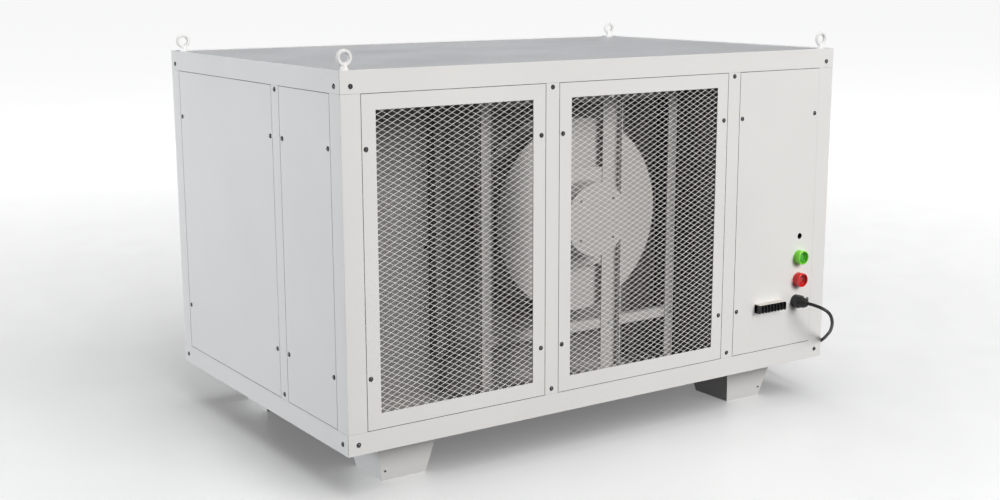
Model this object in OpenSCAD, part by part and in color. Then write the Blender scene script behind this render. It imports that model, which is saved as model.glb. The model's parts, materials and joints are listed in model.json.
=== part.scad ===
// Air cooler: a sheet-metal cabinet on four tapered feet with two grilled openings in front.
// The part frame is +Z up with its origin on the floor under the middle of the cabinet.
// The front, with the grilles and the controls, faces -Y.

/* [Cabinet] */
// Width of the cabinet along X
cabinet_w = 1480; // [1440:10:1560]
// Depth of the cabinet along Y
cabinet_d = 960; // [940:10:1040]
// Height of the cabinet without feet and lifting eyes
cabinet_h = 850; // [840:10:900]
// Height of the top and bottom rails
rail_h = 50; // [46:1:54]
// Width of the corner posts
post_w = 49; // [46:1:52]
// Thickness of the frame and panel sheets
sheet = 2; // [1.5:0.5:2]
// Gap round each panel
panel_gap = 1.5; // [1:0.5:2]
// Width of the landing strip behind each panel edge
landing = 22; // [20:1:24]

/* [Front layout] */
// Distance from the left edge to the left front post
front_post_a = 534; // [520:1:540]
// Width of the left front post
front_post_a_w = 38; // [36:1:40]
// Distance from the left edge to the right front post
front_post_b = 1104; // [1100:1:1110]
// Width of the right front post
front_post_b_w = 40; // [36:1:42]
// Width of the plain border round the grille openings and the louvres
border = 36; // [34:1:38]

/* [Side layout] */
// Distance from the front to the side posts
side_post_y = 302; // [300:1:306]
// Width of the side posts
side_post_w = 39; // [36:1:42]

/* [Feet] */
// Height of the feet below the cabinet
foot_h = 114; // [100:1:130]
// Length of a foot along X where it meets the cabinet
foot_top_x = 168; // [160:1:176]
// Length of a foot along Y where it meets the cabinet
foot_top_y = 177; // [170:1:184]
// Lean of a foot's four walls, in mm for each mm of height
foot_lean = 0.215; // [0.18:0.005:0.24]
// Distance of a foot's middle from the cabinet's side
foot_in_x = 196; // [190:1:200]
// Distance of a foot's middle from the cabinet's front or back
foot_in_y = 163; // [160:1:170]

/* [Grille mesh] */
// Width of a diamond in the mesh, tip to tip
diamond_w = 26; // [26:1:32]
// Height of a diamond in the mesh, tip to tip
diamond_h = 15; // [15:1:18]
// Width of a mesh strand
strand_w = 1.8; // [1.6:0.1:2.4]
// Thickness of the mesh sheet
mesh_t = 1.5; // [1:0.5:2]

/* [Fan] */
// Height of the fan axis above the cabinet's bottom
fan_z = 450; // [445:1:455]
// Diameter of the fan wheel
wheel_d = 490; // [480:1:500]
// Distance from the front to the wheel's back plate
wheel_y = 146; // [144:1:150]
// Depth of the blades along the axis
blade_depth = 101; // [95:1:101]
// Number of blades
blade_count = 7; // [5:1:9]
// Diameter of the motor
motor_d = 185; // [180:1:190]
// Distance from the front to the motor's end face
motor_y = 67; // [60:1:80]
// Diameter of the fan shaft
shaft_d = 19; // [18:1:20]

/* [Wet section] */
// Thickness of the evaporative pads
pad_t = 100; // [90:5:100]
// Height of the evaporative pads
pad_h = 640; // [620:5:640]
// Height of the water tank's walls
sump_h = 90; // [80:1:92]

/* [Controls] */
// Diameter of the push-button caps
cap_d = 38; // [36:1:40]
// Length of the push-button caps in front of the door
cap_out = 20; // [18:1:22]
// Travel of the push buttons
cap_travel = 3; // [2:0.5:4]
// Diameter of the power cable
cable_d = 9; // [8:0.5:9]

/* [Hidden] */
$fn = 64;

W = cabinet_w;
D = cabinet_d;
H = cabinet_h;
t = sheet;
fan_x = W / 2;
far = 2000;            // longer than the cabinet, for cuts that go right through
seam = 0.5;            // half of the joint line between two rails or a rail and a post

paint = "#e6e5e3";
inside_paint = "#d8d6d2";
dark_plastic = "#1c1c1e";
steel = "#b9bcc0";

// ---------- screws ----------
screw_r = 2.5;
tapped_r = 2.6;
clear_r = 3.1;
head_r = 6;
head_h = 3.4;
low_rail_z = 24;
high_rail_z = H - 34;
low_post_z = 64;
high_post_z = H - 60;
low_panel_z = 170;
high_panel_z = 680;
rail_in = 26;
left_in = 11;
right_in = 13;

// Screws of a face as [distance along the face, height].
function rail_screws(length) =
  [for (x = [rail_in, length - rail_in], z = [low_rail_z, high_rail_z]) [x, z]];
function post_screws(x) = [for (z = [low_post_z, high_post_z]) [x, z]];
function panel_screws(a, b) =
  [for (x = [a + left_in, b - right_in], z = [low_panel_z, high_panel_z]) [x, z]];

front_panels = [
  [post_w, front_post_a],
  [front_post_a + front_post_a_w, front_post_b],
  [front_post_b + front_post_b_w, W - post_w]
];
side_panels = [[post_w, side_post_y], [side_post_y + side_post_w, D - post_w]];
rear_post_w = 40;
rear_panels = [[post_w, (W - rear_post_w) / 2], [(W + rear_post_w) / 2, W - post_w]];

front_screws = concat(
  rail_screws(W),
  post_screws(front_post_a + front_post_a_w / 2), post_screws(front_post_b + front_post_b_w / 2),
  [for (p = front_panels) each panel_screws(p[0], p[1])]
);
rear_screws = concat(
  rail_screws(W), post_screws(W / 2), [for (p = rear_panels) each panel_screws(p[0], p[1])]
);
side_screws = concat(
  rail_screws(D), post_screws(side_post_y + side_post_w / 2),
  [for (p = side_panels) each panel_screws(p[0], p[1])]
);

// ---------- placing helpers ----------
// Moves from the cabinet's front left bottom corner to the part frame.
module cab() { translate([-W / 2, -D / 2, foot_h]) children(); }

// Places what is drawn on the front face (X along, Y inwards, Z up) on each of the other faces.
module on_rear() { translate([0, D, 0]) mirror([0, 1, 0]) children(); }
module on_left() { mirror([1, -1, 0]) children(); }
module on_right() { translate([W, 0, 0]) mirror([1, 0, 0]) on_left() children(); }

// Points the Z axis of its children inwards from the front face, at x and z.
module into(x, z, y = 0) { translate([x, y, z]) rotate([-90, 0, 0]) children(); }

// A box from one corner to the other.
module block(low, high) { translate(low) cube(high - low); }

// Cuts screw holes in a face that is drawn on the front.
module drilled(screws, r) {
  difference() {
    children();
    for (s = screws) into(s[0], s[1], -1) cylinder(r = r, h = 12, $fn = 24);
  }
}
function between(screws, x0, x1, z0, z1) =
  [for (s = screws) if (s[0] > x0 && s[0] < x1 && s[1] > z0 && s[1] < z1) s];

// ---------- frame ----------
bottom_flange = 50;
ledge = 30;
lip_w = 4;
bottom_section = [
  [0, 0], [bottom_flange, 0], [bottom_flange, t], [t, t], [t, rail_h - 4], [2 * t, rail_h - 4],
  [2 * t, rail_h + landing], [t, rail_h + landing], [t, rail_h], [0, rail_h]
];
top_section = [
  [0, 0], [t, 0], [t, -landing], [2 * t, -landing], [2 * t, 4], [t, 4], [t, rail_h - 6],
  [ledge, rail_h - 6], [ledge, rail_h - 4], [lip_w, rail_h - 4], [lip_w, rail_h], [0, rail_h]
];

// One rail along the front, of the given section, with mitred ends.
module rail(section, length, z) {
  intersection() {
    translate([0, 0, z]) rotate([90, 0, 90]) linear_extrude(length) polygon(section);
    translate([0, 0, -far / 2]) linear_extrude(far)
      polygon([[seam, 0], [length - seam, 0], [length - seam - 80, 80], [seam + 80, 80]]);
  }
}

module drilled_rail(section, length, z, screws, z0, z1) {
  drilled(between(screws, 0, length, z0, z1), clear_r)
    drilled(between(screws, 60, length - 60, z0 - landing, z1 + landing), tapped_r)
      rail(section, length, z);
}

module bottom_rails() {
  color(paint) cab() {
    drilled_rail(bottom_section, W, 0, front_screws, 0, rail_h);
    difference() {
      on_rear() drilled_rail(bottom_section, W, 0, rear_screws, 0, rail_h);
      into(drain_x, fitting_z, D - 10) cylinder(r = drain_r + 0.3, h = 20);
      into(water_x, fitting_z, D - 10) cylinder(r = water_r + 0.3, h = 20);
    }
    on_left() drilled_rail(bottom_section, D, 0, side_screws, 0, rail_h);
    on_right() drilled_rail(bottom_section, D, 0, side_screws, 0, rail_h);
  }
}

module top_rails() {
  z = H - rail_h;
  color(paint) cab() difference() {
    union() {
      drilled_rail(top_section, W, z, front_screws, z, H);
      on_rear() drilled_rail(top_section, W, z, rear_screws, z, H);
      on_left() drilled_rail(top_section, D, z, side_screws, z, H);
      on_right() drilled_rail(top_section, D, z, side_screws, z, H);
    }
    eye_holes();
  }
}

module at_corners() {
  for (x = [0, 1], y = [0, 1])
    translate([x * W, y * D, 0]) mirror([x, 0, 0]) mirror([0, y, 0]) children();
}

// L-shaped gussets that tie the mitred rails together.
bracket_leg = 45;
module corner_brackets() {
  bottoms = [6, H - rail_h + 5];
  color(steel) cab() difference() {
    at_corners() for (z = bottoms) translate([0, 0, z]) linear_extrude(rail_h - 12) {
      translate([t, t]) square([bracket_leg - t, 3]);
      translate([t, t]) square([3, bracket_leg - t]);
    }
    for (s = rail_screws(W)) {
      into(s[0], s[1], -1) cylinder(r = tapped_r, h = 12, $fn = 24);
      on_rear() into(s[0], s[1], -1) cylinder(r = tapped_r, h = 12, $fn = 24);
    }
    for (s = rail_screws(D)) {
      on_left() into(s[0], s[1], -1) cylinder(r = tapped_r, h = 12, $fn = 24);
      on_right() into(s[0], s[1], -1) cylinder(r = tapped_r, h = 12, $fn = 24);
    }
  }
}

// The outline of a corner post, bent round the cabinet's edge, with a landing for each panel.
post_z0 = rail_h + seam;
post_z1 = H - rail_h - seam;
land_z0 = rail_h + landing + 1;
land_z1 = H - rail_h - landing - 1;
module corner_post() {
  translate([0, 0, post_z0]) linear_extrude(post_z1 - post_z0) {
    translate([t, 0]) square([post_w - t, t]);
    translate([0, t]) square([t, post_w - t]);
    intersection() {
      translate([t, t]) circle(t);
      square(t);
    }
  }
  translate([0, 0, land_z0]) linear_extrude(land_z1 - land_z0) {
    translate([post_w - 4, t]) square([landing + 4, t]);
    translate([t, post_w - 4]) square([t, landing + 4]);
  }
}

module corner_posts() {
  color(paint) cab() difference() {
    at_corners() corner_post();
    for (s = between(front_screws, 0, W, land_z0, land_z1))
      into(s[0], s[1], 1) cylinder(r = tapped_r, h = 8, $fn = 24);
    on_rear() for (s = between(rear_screws, 0, W, land_z0, land_z1))
      into(s[0], s[1], 1) cylinder(r = tapped_r, h = 8, $fn = 24);
    for (s = between(side_screws, 0, D, land_z0, land_z1)) {
      on_left() into(s[0], s[1], 1) cylinder(r = tapped_r, h = 8, $fn = 24);
      on_right() into(s[0], s[1], 1) cylinder(r = tapped_r, h = 8, $fn = 24);
    }
  }
}

// A post between two panels of one face.
module mid_post(x, w, screws) {
  near = between(screws, x - landing, x + w + landing, land_z0, land_z1);
  ends = between(screws, x, x + w, 0, H);
  drilled(near, tapped_r) drilled(ends, clear_r) {
    block([x, 0, post_z0], [x + w, t, post_z1]);
    block([x - landing, t, land_z0], [x + w + landing, 2 * t, land_z1]);
  }
}

module front_post_left() { color(paint) cab() mid_post(front_post_a, front_post_a_w, front_screws); }
module front_post_right() { color(paint) cab() mid_post(front_post_b, front_post_b_w, front_screws); }
module rear_post() {
  color(paint) cab() on_rear() mid_post((W - rear_post_w) / 2, rear_post_w, rear_screws);
}
module side_posts() {
  color(paint) cab() {
    on_left() mid_post(side_post_y, side_post_w, side_screws);
    on_right() mid_post(side_post_y, side_post_w, side_screws);
  }
}

// ---------- floor, roof, feet, eyes ----------
pan_t = 3;
pan_top = t + pan_t;
module base_pan() {
  color(inside_paint) cab() block([t + seam, t + seam, t], [W - t - seam, D - t - seam, pan_top]);
}

roof_z = H - 4;
module top_panel() {
  color(paint) cab() difference() {
    block([lip_w + 0.5, lip_w + 0.5, roof_z], [W - lip_w - 0.5, D - lip_w - 0.5, roof_z + t]);
    eye_holes();
  }
}

// A foot is a hollow tapered box with flat walls and a closed bottom.
foot_wall = 2.5;
module foot_solid(x, y, z0) {
  lean_z = t - z0;
  intersection() {
    rotate([90, 0, 0]) linear_extrude(far, center = true)
      polygon([[-x, t], [x, t], [x - foot_lean * lean_z, z0], [foot_lean * lean_z - x, z0]]);
    rotate([90, 0, 90]) linear_extrude(far, center = true)
      polygon([[-y, t], [y, t], [y - foot_lean * lean_z, z0], [foot_lean * lean_z - y, z0]]);
  }
}

module feet() {
  x = foot_top_x / 2;
  y = foot_top_y / 2;
  color(paint) cab() at_corners() translate([foot_in_x, foot_in_y, 0]) difference() {
    foot_solid(x, y, -foot_h);
    difference() {
      foot_solid(x - foot_wall, y - foot_wall, -foot_h - 1);
      block([-far, -far, -far], [far, far, 3 - foot_h]);
    }
    translate([-52.5, 0, 24 - foot_h]) rotate([90, 0, 0]) cylinder(d = 6, h = y, $fn = 24);
  }
}

eye_in = 25;
eye_z = 875;
eye_R = 18.5;
eye_r = 10;
eye_y = 9;
eye_shank = 5;
module eye_holes() {
  at_corners() translate([eye_in, eye_in, H - 20]) cylinder(r = eye_shank + 0.2, h = 40);
}

module lifting_eye() {
  section = [
    [eye_r, -eye_y / 2 + 2], [eye_r + 2, -eye_y / 2], [eye_R - 2, -eye_y / 2], [eye_R, -eye_y / 2 + 2],
    [eye_R, eye_y / 2 - 2], [eye_R - 2, eye_y / 2], [eye_r + 2, eye_y / 2], [eye_r, eye_y / 2 - 2]
  ];
  difference() {
    union() {
      translate([0, 0, eye_z]) rotate([90, 0, 0]) rotate_extrude() polygon(section);
      translate([0, 0, roof_z + t]) cylinder(r1 = 11, r2 = 8, h = 4);
      translate([0, 0, roof_z + t + 4]) cylinder(r1 = 8, r2 = 6.5, h = 8);
      translate([0, 0, H - 32]) cylinder(r = eye_shank, h = 34);
      translate([0, 0, roof_z - 2 - 8]) cylinder(r = 9.8, h = 8, $fn = 6);
    }
    translate([0, 0, eye_z]) rotate([90, 0, 0]) cylinder(r = eye_r, h = 40, center = true);
  }
}

module lifting_eyes() { color("#f2f2f2") cab() at_corners() translate([eye_in, eye_in, 0]) lifting_eye(); }

// ---------- panels ----------
panel_z0 = rail_h + panel_gap;
panel_z1 = H - rail_h - panel_gap;
module panel(span, screws, end_gap = panel_gap) {
  drilled(between(screws, span[0], span[1], panel_z0, panel_z1), clear_r)
    block([span[0] + panel_gap, 0, panel_z0], [span[1] - end_gap, t, panel_z1]);
}

module side_panel_left_front() { color(paint) cab() on_left() panel(side_panels[0], side_screws); }
module side_panel_left_rear() { color(paint) cab() on_left() panel(side_panels[1], side_screws); }
module side_panel_right_front() { color(paint) cab() on_right() panel(side_panels[0], side_screws); }
module side_panel_right_rear() { color(paint) cab() on_right() panel(side_panels[1], side_screws); }

module grille_frame(span) {
  difference() {
    panel(span, front_screws);
    block([span[0] + border, -1, panel_z0 + border], [span[1] - border, t + 1, panel_z1 - border + 1]);
  }
}
module grille_frame_left() { color(paint) cab() grille_frame(front_panels[0]); }
module grille_frame_right() { color(paint) cab() grille_frame(front_panels[1]); }

// Diamond mesh: a plain strip all round and rows of diamonds, each row half a diamond along.
module mesh(span) {
  lap = 9;
  x0 = span[0] + border - lap;
  x1 = span[1] - border + lap;
  z0 = panel_z0 + border - lap;
  z1 = panel_z1 - border + lap;
  hole_w = diamond_w - 2 * strand_w;
  hole_h = diamond_h - 1.12 * strand_w;
  columns = floor((x1 - x0 - 6) / diamond_w);
  rows = floor(2 * (z1 - z0 - 6) / diamond_h) - 1;
  edge_x = (x1 - x0 - columns * diamond_w) / 2;
  edge_z = (z1 - z0 - (rows + 1) * diamond_h / 2) / 2;
  into(0, 0, t) linear_extrude(mesh_t) mirror([0, 1]) difference() {
    translate([x0, z0]) square([x1 - x0, z1 - z0]);
    for (row = [0:rows - 1], column = [0:columns - 1 - row % 2]) {
      cx = x0 + edge_x + (column + 0.5 + (row % 2) / 2) * diamond_w;
      cz = z0 + edge_z + (row + 1) * diamond_h / 2;
      translate([cx, cz]) polygon([[-hole_w / 2, 0], [0, -hole_h / 2], [hole_w / 2, 0], [0, hole_h / 2]]);
    }
  }
}
module grille_mesh_left() { color(paint) cab() mesh(front_panels[0]); }
module grille_mesh_right() { color(paint) cab() mesh(front_panels[1]); }

wire_hole = [1380, 350, 8];
start_at = [1379, 293];
stop_at = [1379, 231];
gland_at = [1372, 172];
door_gland_r = 10;
door_end_gap = 0.3;    // the door closes tight against the right corner post
cap_clear = 0.3;
module control_door() {
  color(paint) cab() difference() {
    panel(front_panels[2], front_screws, door_end_gap);
    into(wire_hole[0], wire_hole[1], -1) cylinder(r = wire_hole[2], h = t + 2);
    for (p = [start_at, stop_at]) into(p[0], p[1], -1) cylinder(r = cap_d / 2 + cap_clear, h = t + 2);
    into(gland_at[0], gland_at[1], -1) cylinder(r = door_gland_r + 0.2, h = t + 2);
  }
}

// Fixed louvre panel: a border sheet, two cheeks and sloping blades that shed rain.
louvre_pitch = 40;
louvre_depth = 30;
louvre_drop = 26;
blade_t = 1.5;
module louvre(span) {
  x0 = span[0] + border;
  x1 = span[1] - border;
  z0 = panel_z0 + border;
  z1 = panel_z1 - border;
  blades = floor((z1 - z0) / louvre_pitch);
  first = z0 + (z1 - z0 - blades * louvre_pitch) / 2;
  difference() {
    panel(span, rear_screws);
    block([x0, -1, z0], [x1, t + 1, z1]);
  }
  for (x = [x0 - 3, x1 + 1]) block([x, t, z0 - 4], [x + 2, t + louvre_depth, z1 + 4]);
  for (i = [0:blades - 1]) translate([x0 - 2, 0, first + i * louvre_pitch + 4])
    rotate([90, 0, 90]) linear_extrude(x1 - x0 + 4)
      polygon([
        [0.5, 0], [blade_t + 0.5, 0], [louvre_depth, louvre_drop],
        [louvre_depth, louvre_drop + 6], [louvre_depth - blade_t, louvre_drop + 6], [0.5, blade_t]
      ]);
}
module intake_louvre_left() { color(paint) cab() on_rear() louvre(rear_panels[0]); }
module intake_louvre_right() { color(paint) cab() on_rear() louvre(rear_panels[1]); }

// ---------- bulkhead, partition and air inlet ----------
wall_top = H - 6.5;
wall_in = 5;
bulkhead_y = 298;
box_half = 345;
box_depth = 30;
bulkhead_hole = 320;
partition_x = 1123;
module bulkhead() {
  color(inside_paint) cab() difference() {
    block([wall_in, bulkhead_y, pan_top], [W - wall_in, bulkhead_y + t, wall_top]);
    block([fan_x - bulkhead_hole, bulkhead_y - 1, fan_z - bulkhead_hole],
          [fan_x + bulkhead_hole, bulkhead_y + t + 1, fan_z + bulkhead_hole]);
    into(383, 381, bulkhead_y - 1) cylinder(d = 10, h = t + 2, $fn = 24);
  }
}

module partition() {
  color(inside_paint) cab() difference() {
    block([partition_x, wall_in, pan_top], [partition_x + t, bulkhead_y, wall_top]);
    for (z = [low_post_z, high_post_z])
      block([partition_x - 1, 0, z - 7], [partition_x + t + 1, 16, z + 7]);
    translate([partition_x - 1, 143, 545]) rotate([0, 90, 0]) cylinder(d = 14, h = t + 2);
  }
}

ring_mouth = 188;
module inlet_box() {
  y0 = bulkhead_y - box_depth;
  color(inside_paint) cab() difference() {
    block([fan_x - box_half, y0, fan_z - box_half], [fan_x + box_half, bulkhead_y, fan_z + box_half]);
    block([fan_x - box_half + t, y0 + t, fan_z - box_half + t],
          [fan_x + box_half - t, bulkhead_y + 1, fan_z + box_half - t]);
    into(fan_x, fan_z, y0 - 1) cylinder(r = ring_mouth, h = t + 2, $fn = 96);
  }
}

// Bell-mouthed ring that leads the air into the wheel's eye.
throat_r = 160;
bell_r = 26;
ring_y = bulkhead_y - box_depth + t;
module inlet_ring() {
  color(inside_paint) cab() into(fan_x, fan_z, ring_y + t) rotate_extrude($fn = 96) {
    translate([throat_r + bell_r, -bell_r]) intersection() {
      difference() {
        circle(bell_r);
        circle(bell_r - t);
      }
      translate([-bell_r, 0]) square(bell_r);
    }
    translate([throat_r + bell_r, -t]) square([36, t]);
  }
}

// ---------- fan ----------
shroud_y = wheel_y + 3 + blade_depth;
eye_in_r = 165;
blade_in_r = 170;
blade_curve = 150;
// A blade is a slice of a tube, standing on the back plate and leaning back from the turn.
module blade() {
  intersection() {
    difference() {
      cylinder(r = wheel_d / 2 - 2, h = blade_depth);
      translate([0, 0, -1]) cylinder(r = blade_in_r, h = blade_depth + 2);
    }
    translate([blade_in_r - 30, blade_curve - 20, 0]) difference() {
      cylinder(r = blade_curve, h = blade_depth);
      translate([0, 0, -1]) cylinder(r = blade_curve - 2.5, h = blade_depth + 2);
    }
    block([0, -far, -1], [far, blade_curve - 20, blade_depth + 1]);
  }
}

hub_r = 30;
module fan_wheel() {
  color(inside_paint) cab() into(fan_x, fan_z, wheel_y) difference() {
    union() {
      cylinder(r = wheel_d / 2, h = 3, $fn = 128);
      translate([0, 0, -10]) cylinder(r = hub_r, h = 30);
      translate([0, 0, 3]) for (i = [0:blade_count - 1]) rotate(i * 360 / blade_count) blade();
      translate([0, 0, shroud_y - wheel_y]) difference() {
        union() {
          cylinder(r = wheel_d / 2, h = 3, $fn = 128);
          cylinder(r = eye_in_r + 3, h = 5, $fn = 128);
        }
        translate([0, 0, -1]) cylinder(r = eye_in_r, h = 20, $fn = 128);
      }
    }
    translate([0, 0, -20]) cylinder(d = shaft_d, h = 60);
  }
}

shaft_y = 98;
module fan_shaft() { color(steel) cab() into(fan_x, fan_z, shaft_y) cylinder(d = shaft_d, h = 70); }

frame_y = 126;
plate_y = frame_y + 3;
spigot_r = 55;
motor_l = frame_y - motor_y - 0.5;
module motor() {
  color(inside_paint) cab() into(fan_x, fan_z, motor_y) difference() {
    union() {
      cylinder(d = motor_d, h = motor_l, $fn = 96);
      translate([0, 0, motor_l]) cylinder(r = spigot_r + 2, h = plate_y - motor_y - motor_l);
      translate([0, 0, plate_y - motor_y]) cylinder(r = spigot_r, h = 5);
    }
    for (x = [-50, 50], y = [-50, 50]) translate([x, y, -1]) cylinder(d = 7, h = 13, $fn = 24);
    translate([0, 0, shaft_y - motor_y - 2]) cylinder(r = shaft_d / 2 + 0.05, h = 60);
  }
}

plate_half_x = 94;
plate_half_z = 124;
plate_drop = 4;
module motor_plate() {
  z = fan_z - plate_drop;
  color(inside_paint) cab() difference() {
    block([fan_x - plate_half_x, plate_y, z - plate_half_z],
          [fan_x + plate_half_x, plate_y + 3, z + plate_half_z]);
    into(fan_x, fan_z, plate_y - 1) cylinder(r = spigot_r + 0.2, h = 5);
  }
}

post_half = 290;
bar_half = 295;
bar_face = 25;
bar_low = fan_z - bar_half - 3;
bar_high = fan_z + bar_half - 9;
bar_bolt_z = [bar_low + 12, bar_high + 12];
bolt_x = 89;
rail_bolts = [for (s = [-1, 1], z = bar_bolt_z) [fan_x + s * bolt_x, z]];
post_bolts = [for (s = [-1, 1], z = bar_bolt_z) [fan_x + s * post_half, z]];

module both_sides() {
  translate([fan_x, 0, 0]) {
    children();
    mirror([1, 0, 0]) children();
  }
}

// Two angles from floor to roof that carry the motor; their outer flanges point forwards.
rail_half = 107;
rail_web = 49;
rail_flange = 18;
module motor_rails() {
  color(inside_paint) cab() difference() {
    both_sides() {
      block([rail_half + 3 - rail_web, frame_y, pan_top], [rail_half + 3, plate_y, wall_top]);
      block([rail_half, frame_y - rail_flange, pan_top], [rail_half + 3, frame_y, wall_top]);
    }
    for (p = rail_bolts) into(p[0], p[1], frame_y - 1) cylinder(r = 3.1, h = 5, $fn = 24);
  }
}

// Two outer angles from floor to roof; their outer flanges point backwards.
module fan_posts() {
  color(inside_paint) cab() difference() {
    both_sides() {
      block([post_half - 14, frame_y, pan_top], [post_half + 14, plate_y, wall_top]);
      block([post_half + 11, plate_y, pan_top], [post_half + 14, plate_y + 21, wall_top]);
    }
    for (p = post_bolts) into(p[0], p[1], frame_y - 1) cylinder(r = 3.1, h = 5, $fn = 24);
  }
}

module crossbars() {
  half = post_half + 10.5;
  color(inside_paint) cab() difference() {
    for (z = [bar_low, bar_high]) {
      block([fan_x - half, plate_y, z], [fan_x + half, plate_y + 3, z + bar_face]);
      block([fan_x - half, plate_y + 3, z + bar_face - 3], [fan_x + half, plate_y + 18, z + bar_face]);
    }
    for (p = concat(rail_bolts, post_bolts))
      into(p[0], p[1], plate_y - 1) cylinder(r = 3.1, h = 5, $fn = 24);
  }
}

module fan_bolts() {
  color(steel) cab() for (p = concat(rail_bolts, post_bolts)) into(p[0], p[1], frame_y) {
    translate([0, 0, -3]) cylinder(r = 5, h = 3, $fn = 32);
    translate([0, 0, -1]) cylinder(r = 2.9, h = 12, $fn = 24);
    translate([0, 0, 6]) cylinder(r = 5, h = 4, $fn = 6);
  }
}

// A button-head screw with a hexagon socket; the shank points along +Z.
module screw() {
  ball = (head_r * head_r + head_h * head_h) / (2 * head_h);
  difference() {
    union() {
      intersection() {
        translate([0, 0, ball - head_h]) sphere(r = ball, $fn = 48);
        translate([0, 0, -head_h]) cylinder(r = head_r, h = head_h, $fn = 48);
      }
      cylinder(r = screw_r, h = 12, $fn = 24);
    }
    translate([0, 0, -head_h - 1]) cylinder(r = 2.2, h = 2.8, $fn = 6);
  }
}
module cabinet_screws() {
  color("#d9dadc") cab() {
    for (s = front_screws) into(s[0], s[1]) screw();
    on_rear() for (s = rear_screws) into(s[0], s[1]) screw();
    on_left() for (s = side_screws) into(s[0], s[1]) screw();
    on_right() for (s = side_screws) into(s[0], s[1]) screw();
  }
}

// ---------- controls ----------
cap_in = 10;
// A hollow translucent cap with a stem, pressed along +Y.
module push_cap() {
  difference() {
    union() {
      translate([0, 0, -cap_out]) cylinder(d = cap_d, h = cap_out + cap_in);
      translate([0, 0, cap_in]) cylinder(r = 8, h = 4);
    }
    translate([0, 0, -cap_out - 1]) cylinder(r = cap_d / 2 - 4, h = 9);
    translate([0, 0, -cap_out + 7]) cylinder(r1 = cap_d / 2 - 6, r2 = cap_d / 2 - 8, h = 6);
  }
}
module start_button() { color("#3fbf1f") cab() into(start_at[0], start_at[1]) push_cap(); }
module stop_button() { color("#c81418") cab() into(stop_at[0], stop_at[1]) push_cap(); }

module switch_bodies() {
  color(dark_plastic) cab() for (p = [start_at, stop_at]) into(p[0], p[1], t) difference() {
    union() {
      cylinder(r = 24, h = 30);
      translate([-15, -20, 30]) cube([30, 40, 24]);
    }
    translate([0, 0, -1]) cylinder(r = cap_d / 2 + cap_clear, h = cap_in + cap_travel + 1.5);
    translate([0, 0, -1]) cylinder(r = 9, h = cap_in + 4 + cap_travel + 1);
  }
}

// Barrier terminal strip: a base and nine fins with wire slots between them.
block_x = [1222, 1316];
block_z = [160, 180];
block_out = 23;
fin_count = 9;
fin_t = 2;
module terminal_block() {
  pitch = (block_x[1] - block_x[0] - fin_t) / (fin_count - 1);
  color(dark_plastic) cab() {
    block([block_x[0], -9, block_z[0]], [block_x[1], 0, block_z[1]]);
    for (i = [0:fin_count - 1]) translate([block_x[0] + i * pitch, 0, 0])
      block([0, -block_out, block_z[0] - 2], [fin_t, -9, block_z[1] + 2]);
  }
}

gland_hex = 24;
gland_dome = 21;
module cable_gland() {
  color(dark_plastic) cab() into(gland_at[0], gland_at[1], -gland_hex - gland_dome) {
    cylinder(r1 = 7.5, r2 = 14.5, h = gland_dome);
    translate([0, 0, gland_dome]) cylinder(r = 18.5, h = gland_hex, $fn = 6);
    translate([0, 0, gland_dome + gland_hex]) cylinder(r = door_gland_r, h = 14);
    translate([0, 0, gland_dome + gland_hex + t]) cylinder(r = 15, h = 6, $fn = 6);
  }
}

// ---------- power cable ----------
// Middle line of the cable in the part frame, from the gland to the start of the coil.
cable_route = [
  [632, -525, 286], [635, -537, 286], [641, -551, 283], [650, -562, 278], [662, -570, 269],
  [674, -572, 256], [685, -568, 238], [696, -558, 223], [708, -544, 208], [721, -528, 195],
  [731, -510, 181], [740, -493, 168], [747.5, -475, 156], [752, -453, 142], [756, -430, 127],
  [760, -405, 111], [764, -379, 96], [769, -351, 82], [775, -322, 68], [782, -292, 54],
  [790, -262, 40], [799, -232, 28], [808, -201, 18], [818, -169, 10], [828, -136, 6],
  [838, -102, 5], [847, -68, 5], [855, -32, 5], [861, 4, 5], [865, 32, 5], [867, 58, 5]
];
coil_middle = [810, 58];
coil_r = 52;
coil_turns_wide = 2;
coil_turns_high = 2;

function unit(v) = v / norm(v);
function bend(a, b, c, d, u) =
  0.5 * (2 * b + (c - a) * u + (2 * a - 5 * b + 4 * c - d) * u * u + (3 * b - a - 3 * c + d) * u * u * u);
// A smooth curve through the points, with the given number of steps between two points.
function smooth(p, steps) = concat(
  [for (i = [0:len(p) - 2], k = [0:steps - 1])
    bend(p[max(i - 1, 0)], p[i], p[i + 1], p[min(i + 2, len(p) - 1)], k / steps)],
  [p[len(p) - 1]]
);
// The direction of the line at point i.
function heading(p, i) = i == 0 ? [0, -1, 0] : unit(p[min(i + 1, len(p) - 1)] - p[i - 1]);
// A side direction carried along the line without twist.
function sides(p, i = 0, out = [[1, 0, 0]]) =
  i == len(p) - 1 ? out :
  let (h = heading(p, i + 1), last = out[len(out) - 1])
    sides(p, i + 1, concat(out, [unit(last - (last * h) * h)]));

module tube(line, r, n) {
  side = sides(line);
  ring = [for (i = [0:len(line) - 1]) let (h = heading(line, i), s = side[i], q = cross(h, s))
    [for (k = [0:n - 1]) line[i] + r * (cos(360 * k / n) * s + sin(360 * k / n) * q)]];
  last = len(line) - 1;
  polyhedron(
    points = [for (r0 = ring) each r0],
    faces = concat(
      [[for (k = [0:n - 1]) k]],
      [for (i = [0:last - 1], k = [0:n - 1])
        each [[i * n + k, (i + 1) * n + k, (i + 1) * n + (k + 1) % n],
              [i * n + k, (i + 1) * n + (k + 1) % n, i * n + (k + 1) % n]]],
      [[for (k = [n - 1:-1:0]) last * n + k]]
    )
  );
}

module power_cable() { color("#161616") tube(smooth(cable_route, 2), cable_d / 2, 10); }

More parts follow.
